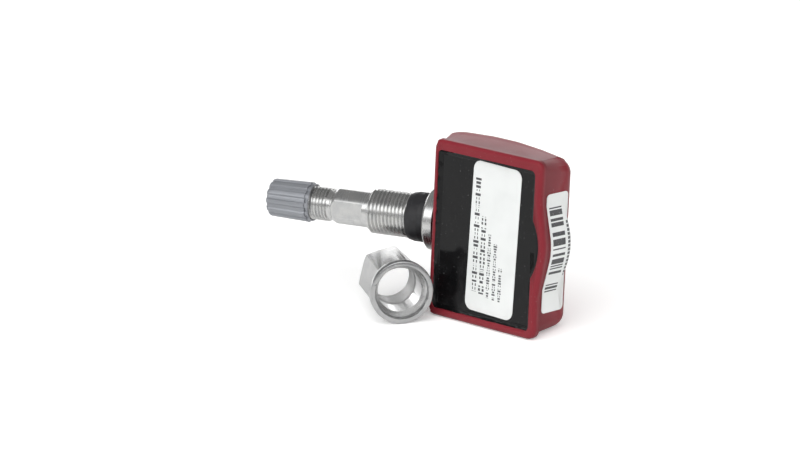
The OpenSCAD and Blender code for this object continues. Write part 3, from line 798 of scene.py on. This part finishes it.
@dataclass
class ValveStem:
    """The turned aluminium stem with its flange, two threads, wrench flats and bores."""

    flange_r: float = 7.1
    flange_t: float = 2.6
    stud_r: float = 2.5
    stud_end: float = 10.0
    thread_r: float = 5.17
    thread_root: float = 4.62
    thread_pitch: float = 0.907
    thread_start: float = 4.9
    thread_end: float = 14.6
    shank_r: float = 4.05
    shank_end: float = 22.9
    neck_taper: float = 0.8
    flat_half: float = 3.58
    flats_start: float = 15.8
    neck_r: float = 3.5
    tip_r: float = 3.85
    tip_root: float = 3.42
    tip_pitch: float = 0.794
    tip_start: float = 24.2
    length: float = 36.5
    bores: Sequence[Point] = (
        (0, 16.4), (1.2, 16.4), (2.05, 17.0), (2.05, 27.8), (2.6, 29.6), (2.6, 37.5), (0, 37.5),
    )
    passage_r: float = 1.2
    vent_r: float = 0.6
    edge: float = 0.05
    thread_reach: Sequence[Point] = ((4.62, 4.8), (4.85, 5.17), (13.8, 5.17), (14.6, 4.6))
    tip_reach: Sequence[Point] = ((23.9, 3.45), (24.5, 3.85), (35.9, 3.85), (36.5, 3.3))

    def outline(self) -> list[Point]:
        """The turned outline, from the stud's end to the tip, at the threads' roots."""
        stud, low, flange, back = self.stud_r, -self.stud_end, self.flange_r, -self.flange_t
        root, start, end = self.thread_root, self.thread_start, self.thread_end
        shank, neck, tip, top = self.shank_r, self.neck_r, self.tip_root, self.length
        return [
            (0, low), (stud - 0.4, low), (stud, low + 0.4), (stud, back), (flange - 0.12, back),
            (flange, back + 0.12), (flange, -0.56), (flange - 0.05, -0.45), (flange - 0.45, -0.05),
            (flange - 0.56, 0), (5.9, 0), (5.88, -0.2), (5.32, -0.2), (5.3, 0), (4.8, 0),
            (4.8, start - 0.35), (root, start), (root, end - 0.1), (root - 0.1, end),
            (shank + 0.14, end), (shank, end + 0.14), (shank, self.shank_end - 0.1),
            (shank - 0.1, self.shank_end + 0.06), (neck + 0.06, self.shank_end + 0.75),
            (neck, self.shank_end + 0.85), (neck, self.tip_start - 0.3),
            (tip, self.tip_start - 0.1), (tip, top - 0.4), (tip - 0.1, top), (0, top),
        ]

    def build(self, metal: Material) -> None:
        """Models the stem and sets it in place of its solid.

        Args:
            metal: Its finish.
        """
        stem = Bench.turned("stem", self.outline())
        flats_end = self.shank_end + self.neck_taper
        for side in (-1, 1):
            middle = (0, side * (self.flat_half + 3), (self.flats_start + flats_end) / 2)
            stem.boolean(Bench.block("flat", (14, 6, flats_end - self.flats_start), middle))
        stem.boolean(Bench.turned("bore", self.bores, 48))
        stem.boolean(Bench.prism("passage", self.passage_r, -1.9, 17, 32))
        vent = Bench.prism("vent", self.vent_r, -0.5, 9, 24)
        vent.object.rotation_euler = (-math.pi / 2, 0, 0)
        vent.object.location = (0, 0, -self.flange_t / 2)
        vent.apply()
        stem.boolean(vent)
        stem.break_edges(self.edge)
        nut_thread = ScrewThread(
            "nut_thread", self.thread_r, self.thread_root, self.thread_pitch,
            self.thread_start - 0.8, self.thread_end - 0.5,
        ).build(self.thread_reach)
        cap_thread = ScrewThread(
            "cap_thread", self.tip_r, self.tip_root, self.tip_pitch,
            self.tip_start + 0.35, self.length - 0.5,
        ).build(self.tip_reach)
        stem.join(nut_thread, cap_thread)
        stem.finish(PLACES.stem(), metal, "stem_aluminium", replaces=("valve_stem",), degrees=20)


@dataclass
class RimGrommet:
    """The rubber bush in front of the flange."""

    seat_r: float = 4.8
    outer_r: float = 5.65
    front_r: float = 5.35
    straight: float = 3.5
    length: float = 4.7

    def build(self, rubber: Material) -> None:
        """Models the bush with rounded edges and a fine mould line.

        Args:
            rubber: Its finish.
        """
        r, line = self.outer_r, self.straight / 2
        section = [
            (self.seat_r, 0), (r - 0.1, 0), (r - 0.03, 0.03), (r, 0.1),
            (r, line - 0.08), (r + 0.03, line), (r, line + 0.08),
            (r, self.straight - 0.25), (r - 0.03, self.straight), (r - 0.1, self.straight + 0.25),
            (self.front_r + 0.06, self.length - 0.25), (self.front_r - 0.02, self.length - 0.08),
            (self.front_r - 0.12, self.length), (self.seat_r, self.length),
        ]
        bush = Bench.turned("grommet", section, 96, closed=True)
        bush.finish(PLACES.stem(), rubber, "seal_rubber", replaces=("rim_grommet",))


@dataclass
class ValveCap:
    """The ribbed plastic cap, a tapered shell whose grooves run out of its open end."""

    open_r: float = 4.65
    closed_r: float = 4.4
    start: float = 29.0
    length: float = 10.7
    collar: float = 0.9
    bore_r: float = 3.91
    bore_top: float = 37.4
    ribs: int = 12
    groove: float = 0.32
    groove_half: float = 0.3
    groove_side: float = 0.12
    groove_fade: Sequence[Point] = ((2.2, 0.0), (3.4, 1.0))

    def build(self, plastic: Material) -> None:
        """Models the shell, then presses the grooves in between its ribs.

        Args:
            plastic: Its finish.
        """
        top = self.start + self.length
        collar_r, shoulder = self.open_r - self.groove, self.start + self.collar
        fall = (self.open_r - self.closed_r) / (self.length - 1 - self.collar)
        outside = [
            (self.open_r - fall * rise, shoulder + rise)
            for rise in (0.1, 0.4, 1.2, 2.4, 3.6, 4.8, 6.0, 7.2, 8.4)
        ]
        crown = [
            (self.closed_r - 1 + math.cos(a), top - 1 + math.sin(a))
            for a in (math.radians(d) for d in (8, 22, 38, 54, 70, 82, 90))
        ]
        section = (
            [(0, self.bore_top), (self.bore_r, self.bore_top), (self.bore_r, self.start + 0.2),
             (self.bore_r + 0.12, self.start), (collar_r - 0.08, self.start),
             (collar_r, self.start + 0.08), (collar_r, shoulder), (self.open_r - 0.1, shoulder)]
            + outside + crown + [(2.6, top), (1.5, top - 0.02), (1.2, top - 0.12), (0, top - 0.12)]
        )
        cap = Bench.turned("cap", section, self.ribs * 16)

        def ribbed(point: Vector) -> Vector:
            """Sinks a point that lies in a groove.

            Args:
                point: A point of the turned shell.

            Returns:
                Its new place.
            """
            radius = math.hypot(point.x, point.y)
            if radius < self.bore_r + 0.25 and point.z < top - 1 or point.z < shoulder - 0.01:
                return point
            turn = math.atan2(point.y, point.x) / TURN * self.ribs
            off = abs(turn - math.floor(turn) - 0.5)
            valley = min(1.0, max(0.0, (self.groove_half - off) / self.groove_side))
            valley = valley * valley * (3 - 2 * valley) * ramp(radius, self.groove_fade)
            sunk = (radius - self.groove * valley) / radius
            return Vector((point.x * sunk, point.y * sunk, point.z))

        cap.move_points(ribbed)
        cap.finish(PLACES.stem(), plastic, "cap_grey", "cap", ("valve_cap",), degrees=40)


@dataclass
class SleeveNut:
    """The loose sleeve nut: a round mouth, a hexagon sleeve and a threaded bore."""

    flats: float = 12.0
    length: float = 16.5
    rim_r: float = 7.25
    rim_t: float = 2.2
    recess_r: float = 6.08
    recess_l: float = 1.2
    cone_l: float = 1.4
    bore_r: float = 5.05
    thread_r: float = 4.8
    pitch: float = 0.907
    thread_start: float = 9.0
    thread_reach: Sequence[Point] = ((8.6, 5.04), (9.6, 4.8), (15.6, 4.8), (16.3, 5.2))
    edge: float = 0.1

    def build(self, metal: Material) -> None:
        """Models the nut and sets it in place of its solid.

        Args:
            metal: Its finish.
        """
        corner, top, thick = self.flats / math.sqrt(3), self.length, self.rim_t
        rim, recess, bore = self.rim_r, self.recess_r, self.bore_r
        nut = Bench.prism("nut", corner, thick / 2, top, 6)
        nut.object.rotation_euler = (0, 0, math.pi / 6)
        nut.apply()
        nut.boolean(Bench.turned("chamfer", [
            (0, 0), (corner + 1, 0), (corner + 1, top - 1.4), (corner - 0.7, top), (0, top),
        ]), "INTERSECT")
        nut.boolean(Bench.turned("rim", [
            (0, 0), (rim - 0.35, 0), (rim - 0.12, 0.1), (rim, 0.32), (rim, thick - 0.45),
            (rim - 0.1, thick - 0.2), (rim - 0.45, thick), (0, thick),
        ]), "UNION")
        nut.boolean(Bench.turned("hole", [
            (0, -1), (recess + 0.12, -1), (recess + 0.12, 0), (recess, 0.14),
            (recess, self.recess_l), (bore, self.recess_l + self.cone_l),
            (bore, top - 0.5), (bore + 1.5, top + 1), (0, top + 1),
        ]))
        nut.break_edges(self.edge)
        thread = ScrewThread(
            "inner_thread", bore, self.thread_r, self.pitch,
            self.thread_start, top - 0.5, inner=True,
        ).build(self.thread_reach)
        nut.join(thread)
        nut.finish(PLACES.nut(), metal, "nut_aluminium", replaces=("sleeve_nut",), degrees=32)


@dataclass
class Housing:
    """The moulded housing, the resin poured in it and its two labels.

    The band along the resin's edge is made of strips, each with its width and its sinking.
    """

    fill_depth: float = 0.9
    meniscus: float = 0.42
    climb_left: float = 0.85
    inner_half: Point = (14.36, 18.56)
    corner: float = 1.2
    cell: Point = (3.8, 0.3)
    pocket_r: float = 12.4
    left_reach: Sequence[Point] = ((9.0, 0.0), (13.8, 1.0))
    lip_drop: float = 0.6
    drop_reach: Sequence[Point] = ((12, 0.0), (17.2, 1.0))
    lip_thin: float = 0.5
    edge_r: float = 3.5
    edge_z: float = 15.81
    edge_x: Point = (-15.37, 11.5)
    crown: tuple[float, float, float] = (-1.5, 14.6, 70.0)
    rim_r: Point = (1.0, 3.2)
    raised: Sequence[Point] = ((-15.37, 0.6), (-8.65, 0.84), (0.0, 0.84), (11.5, 0.12))
    stations: int = 5
    band: Sequence[Point] = (
        (0.08, 0), (0.1, 0), (0.14, 0), (0.2, 0), (0.25, 0), (0.3, 0), (0.05, 0.06),
    )
    fade_width: float = 1.05
    blank_t: float = 2.04
    cuts: int = 60

    @staticmethod
    def merged(node: str, name: str) -> Bench:
        """A welded copy of a solid, in the housing's frame in millimetres.

        Args:
            node: The solid.
            name: The new piece's name.

        Returns:
            The piece.
        """
        piece = Bench(name, bpy.ops.mesh.primitive_plane_add, size=1)
        piece.object.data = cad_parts[node].data.copy()
        piece.object.data.name = name
        piece.object.data.transform(Matrix.Scale(1 / MM, 4) @ PLACES.housing().inverted())
        piece.edit()
        piece.weld()
        bpy.ops.mesh.tris_convert_to_quads(face_threshold=math.radians(2), shape_threshold=math.pi)
        return piece

    def build(self, plastic: Material, resin: Material) -> None:
        """Models the housing's shown skin and the resin's.

        Args:
            plastic: The housing's finish.
            resin: The resin's finish.
        """
        shell = self.merged("housing", "shell")
        shell.move_points(self.top_rim)
        shell.move_points(self.lip)
        shell.modify("WEIGHTED_NORMAL", keep_sharp=True)
        shell.finish(PLACES.housing(), plastic, "housing_red", replaces=("housing",), degrees=28)
        self.skin().finish(PLACES.housing(), resin, "potting_black", degrees=60)

    def top_rim(self, point: Vector) -> Vector:
        """Draws the top's rounded back edge out to a tighter rim, and raises it to the real crown.

        Args:
            point: A point of the shell.

        Returns:
            Its new place, where it lies on the rounding of the top's back edge.
        """
        left, right = self.edge_x
        peak, deepest, bow = self.crown
        for step in range(self.stations):
            share = step / (self.stations - 1)
            x = left + (right - left) * share
            middle = Vector((x, deepest - (x - peak) ** 2 / (2 * bow) - self.edge_r, self.edge_z))
            off = point - middle
            if off.z < 0.3 or abs(off.length - self.edge_r) > 0.05:
                continue
            flat = math.hypot(off.x, off.y)
            rise = math.degrees(math.atan2(off.z, flat))
            if rise < 15:
                return point
            rim = self.rim_r[0] + (self.rim_r[1] - self.rim_r[0]) * share
            turn = math.radians(min(max(rise - 22.5, 0) * 2, 90))
            reach = self.edge_r - rim + rim * math.cos(turn) if rise < 80 else flat
            up = self.edge_r - rim + rim * math.sin(turn)
            lift = ramp(x, self.raised) * up / self.edge_r
            return middle + Vector((off.x * reach / flat, off.y * reach / flat, up + lift))
        return point

    def lip(self, point: Vector) -> Vector:
        """Thins the lip beside the stem and thickens it along the top.

        Args:
            point: A point of the shell.

        Returns:
            Its new place, where it lies on those parts of the lip.
        """
        if point.y < 2.05 and point.x < -14.9:
            return point + Vector((self.lip_thin, 0, 0))
        if point.y < 0.01 and self.drop_reach[0][0] < point.z < self.inner_half[1] + 0.01:
            return point - Vector((0, 0, self.dropped(point.z)))
        return point

    def dropped(self, z: float) -> float:
        """How far the filled opening's top edge lies lower than the solid's, at a height."""
        return self.lip_drop * ramp(z, self.drop_reach)

    def inside(self, x: float, z: float) -> float:
        """Measures how far a place lies inside the filled opening's edge.

        Args:
            x: Its place across.
            z: Its height.

        Returns:
            The distance, less than nought outside.
        """
        wide, high = (half - self.corner for half in self.inner_half)
        out = math.hypot(max(abs(x) - wide, 0), max(abs(z) - high, 0))
        deep = max(abs(x) - wide, abs(z) - high)
        box = out + min(deep, 0) - self.corner
        disc = math.hypot(x - self.cell[0], z - self.cell[1]) - self.pocket_r
        return -min(box, disc)

    def inward(self, point: Vector) -> Vector:
        """Finds the way from the filled opening's edge towards its middle.

        Args:
            point: A place at the edge.

        Returns:
            The way, one millimetre long.
        """
        step = 0.01
        across = self.inside(point.x + step, point.z) - self.inside(point.x - step, point.z)
        up = self.inside(point.x, point.z + step) - self.inside(point.x, point.z - step)
        return Vector((across, 0, up)).normalized()

    def skin(self) -> Bench:
        """Models the resin's edge, which climbs unevenly at the plastic.

        Returns:
            The band along the edge, with its inner side sunk in the solid's face.
        """
        wide, high = self.inner_half
        thick, middle = self.blank_t, self.fill_depth + 1
        face = Bench.block("resin_edge", (2 * wide, thick, 2 * high), (0, middle, 0))
        face.edit()
        face.pick("EDGE", lambda first, last: abs(first.y - last.y) > 1)
        bpy.ops.mesh.bevel(offset=self.corner, segments=6)
        face.boolean(Bench(
            "pocket", bpy.ops.mesh.primitive_cylinder_add, vertices=128, radius=self.pocket_r,
            depth=thick, location=(self.cell[0], middle, self.cell[1]),
            rotation=(math.pi / 2, 0, 0),
        ), "UNION")
        face.edit()
        face.pick("FACE", lambda place: place.y > self.fill_depth)
        bpy.ops.mesh.delete(type="FACE")
        face.select("FACE")
        bpy.ops.mesh.dissolve_faces()
        face.pick("EDGE", lambda first, last: (first - last).length > 3)
        bpy.ops.mesh.subdivide(number_cuts=self.cuts)
        face.select("FACE")
        bpy.ops.mesh.delete(type="ONLY_FACE")
        face.select("EDGE")
        for width, sunk in self.band:
            bpy.ops.mesh.extrude_region_move()
            sink = Vector((0, sunk, 0))
            face.move_points(lambda point: point + self.inward(point) * width + sink, every=False)
            bpy.ops.object.mode_set(mode="EDIT")
        face.outward()

        def climb(point: Vector) -> Vector:
            """Lifts a point near the edge, by an uneven amount.

            Args:
                point: A point of the band.

            Returns:
                Its new place.
            """
            depth = max(self.inside(point.x, point.z), 0)
            slow = noise.noise(Vector((point.x * 0.45, 0.3, point.z * 0.45)))
            quick = noise.noise(Vector((point.x * 1.7, 4.2, point.z * 1.7)))
            near = ramp(-point.x, self.left_reach)
            most = self.meniscus + (self.climb_left - self.meniscus) * near
            rise = most * (0.75 + (0.7 - 0.45 * near) * slow + (0.5 - 0.3 * near) * quick)
            fade = max(1 - depth / self.fade_width, 0) ** (2.4 - 0.8 * near)
            lift = min(max(rise, 0.02), self.climb_left) * fade
            return Vector((point.x, point.y - lift, point.z - self.dropped(point.z)))

        face.move_points(climb)
        return face

    def label(self, node: str, name: str, film: Material) -> None:
        """Sets a label's smooth copy in place of its solid."""
        sheet = self.merged(node, name)
        sheet.finish(PLACES.housing(), film, "label_white", replaces=(node,), degrees=30)


@dataclass
class Studio:
    """The camera at the photograph's view, the pale floor, the sky and the lamps."""

    azimuth: float = 21.92
    elevation: float = 13.18
    roll: float = 2.45
    distance: float = 889.0
    target: tuple[float, float, float] = (17.259, -12.678, 0.0)
    shift: Point = (18.36, -3.09)
    lens: float = 180.0
    apron: float = 0.3
    floor_r: float = 2.5
    floor_glow: float = 0.28
    ambient: float = 0.26
    low_glow: float = 0.12
    window_glow: float = 1.6
    behind_glow: float = 1.7

    def camera(self) -> None:
        """Places the camera."""
        r = math.radians(self.roll)
        back = towards(self.azimuth, self.elevation)
        right = (-back).cross(Vector((0, 0, 1))).normalized()
        above = right.cross(-back)
        side = math.cos(r) * right + math.sin(r) * above
        top = -math.sin(r) * right + math.cos(r) * above
        across, up = self.shift
        where = Vector(self.target) - across * side - up * top + self.distance * back
        data = bpy.data.cameras.new("camera")
        data.lens = self.lens
        data.sensor_width = 36
        data.clip_start, data.clip_end = 0.05, 20
        camera = bpy.data.objects.new("camera", data)
        turn = Matrix((side, top, back)).transposed().to_4x4()
        camera.matrix_world = Matrix.Translation(where * MM) @ turn
        bpy.context.scene.collection.objects.link(camera)
        bpy.context.scene.camera = camera

    @staticmethod
    def sun(name: str, strength: float, width: float, azimuth: float, elevation: float) -> None:
        """Adds a broad lamp far away.

        Args:
            name: The lamp's name.
            strength: Its strength.
            width: How wide it looks from the object, in degrees.
            azimuth: The side it stands on.
            elevation: Its height above the horizon.
        """
        data = bpy.data.lights.new(name, "SUN")
        data.energy = strength
        data.angle = math.radians(width)
        lamp = bpy.data.objects.new(name, data)
        lamp.visible_glossy = False
        lamp.rotation_euler = towards(azimuth, elevation).to_track_quat("Z", "Y").to_euler()
        bpy.context.scene.collection.objects.link(lamp)

    def sky(self) -> None:
        """A plain white surround that lights the object softly."""
        world = bpy.data.worlds.new("surround")
        bpy.context.scene.world = world
        recipe = Recipe(world)
        path = recipe.node("LightPath")
        seen, through = (
            Flow(recipe, path.outputs[f"Is {kind} Ray"]) for kind in ("Camera", "Transmission")
        )
        direction = recipe.node("TexCoord").outputs["Generated"]
        x, y, z = recipe.axes(direction)
        a = math.radians(self.azimuth)
        front = x * math.sin(a) - y * math.cos(a)
        side = x * math.cos(a) + y * math.sin(a)
        height = z.math("ARCTAN2", z, front)
        window = height.step(0.25, 0.4) * (1 - height.step(0.85, 1.1))
        behind = height.step(2.8, 2.94)
        below = 1 - z.step(-0.05, 0.1)
        low = (1 - height.step(0.1, 0.4)) * self.low_glow
        plain = self.ambient + low + window * self.window_glow + behind * self.behind_glow
        plain = plain + below * self.low_glow
        lit = plain * (1 - side.step(0.3, 0.8) * 0.6)
        strength = seen + through + (1 - seen - through) * lit
        shader = recipe.node("Background", {"Color": (1, 1, 1), "Strength": strength})
        recipe.node("OutputWorld", {"Surface": shader.outputs[0]})

    def floor(self) -> None:
        """A pale disc under the object, which keeps its shadow."""
        circle = bpy.ops.mesh.primitive_circle_add
        floor = Bench("floor", circle, vertices=96, radius=self.floor_r, fill_type="NGON").object
        turn = Matrix.Rotation(math.radians(self.azimuth + PLACES.stem_angle), 4, "Z")
        back = Matrix.Translation((0, self.floor_r - self.apron, -0.00002))
        floor.matrix_world = PLACES.floor() @ turn @ back
        recipe = Recipe(bpy.data.materials.new("floor_paper"))
        path = recipe.node("LightPath")
        glow = Flow(recipe, path.outputs["Is Camera Ray"]) * self.floor_glow
        coat(floor, recipe.surface(
            Base_Color=(0.93, 0.93, 0.925), Roughness=0.9, Specular_IOR_Level=0.0,
            Emission_Color=(1.0, 1.0, 1.0), Emission_Strength=glow,
        ))

    def build(self) -> None:
        """Sets everything up."""
        bpy.context.scene.view_settings.view_transform = "Standard"
        self.camera()
        self.sky()
        self.sun("key", strength=1.3, width=70, azimuth=-20, elevation=60)
        self.sun("fill", strength=0.45, width=70, azimuth=95, elevation=30)
        self.floor()


def dress_inside() -> None:
    """Gives each solid that is kept its own finish."""
    stem, box = PLACES.stem(), PLACES.housing()
    steel = ToolMarkedMetal("drawn_steel", (0.6, 0.6, 0.61), (0.4, 0.39, 0.38), stem, Lay.DRAWN)
    can = ToolMarkedMetal("rolled_can", (0.66, 0.66, 0.67), (0.5, 0.5, 0.5), box, Lay.DRAWN)
    wire = ToolMarkedMetal("wound_copper", (0.72, 0.32, 0.12), (0.4, 0.16, 0.06), box, Lay.DRAWN)
    mask = MouldedPlastic(
        "board_mask", (0.012, 0.09, 0.035), (0.03, 0.16, 0.07), box, 0.3, dust=0.1, gloss=0.5
    )
    brass = ToolMarkedMetal("turned_brass", (0.72, 0.52, 0.22), (0.5, 0.34, 0.13), stem)
    kept = (
        (brass, "core_plug core_barrel"),
        (steel, "core_pin core_spring stud_nut"),
        (can, "coin_cell positive_tab negative_tab crystal"),
        (wire, "pickup_coil_winding loop_antenna"),
        (MouldedRubber("seal_rubber", stem), "core_gasket core_cup cap_seal pressure_seal"),
        (MouldedRubber("chip_epoxy", box, (0.02, 0.02, 0.022)),
         "sensor_chip pickup_coil_core chip_capacitors chip_resistors"),
        (mask, "circuit_board"),
        (PouredResin("resin_body", box), "potting"),
    )
    for finish, nodes in kept:
        material = finish.make()
        for node in nodes.split():
            coat(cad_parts[node], material)
            LOG.info("%s: kept solid, %s", node, material.name)


def main() -> None:
    """Builds the sub-assemblies in order, then the studio."""
    logging.basicConfig(level=logging.INFO, format="%(message)s")
    stem, box = PLACES.stem(), PLACES.housing()
    aluminium = ToolMarkedMetal("turned_aluminium", (0.7, 0.7, 0.69), (0.52, 0.53, 0.545), stem)
    ValveStem().build(aluminium.make())
    RimGrommet().build(MouldedRubber("grommet_rubber", stem).make())
    grey = MouldedPlastic(
        "cap_plastic", (0.29, 0.3, 0.325), (0.4, 0.42, 0.45), stem, roughness=0.28,
        grain=5, grain_depth=0.008, dust=0.25, gloss=0.6, flake=0.5,
    )
    ValveCap().build(grey.make())
    # Inside 5.95 mm the nut's bore and thread are painted near white, a painted reflection of light
    # in the bore.
    bare = ToolMarkedMetal(
        "nut_aluminium", (0.52, 0.52, 0.52), (0.4, 0.41, 0.425), PLACES.nut(), bore=5.95
    )
    SleeveNut().build(bare.make())
    red = MouldedPlastic("housing_plastic", (0.225, 0.018, 0.028), (0.27, 0.035, 0.045), box)
    housing = Housing()
    housing.build(red.make(), PouredResin("poured_resin", box).make())
    housing.label("face_label", "face_film", PrintedSheet("face_print", box, Print.ROWS).make())
    housing.label("side_label", "side_film", PrintedSheet("side_print", box, Print.BARS).make())
    dress_inside()
    Studio().build()


if __name__ == "__main__":
    main()
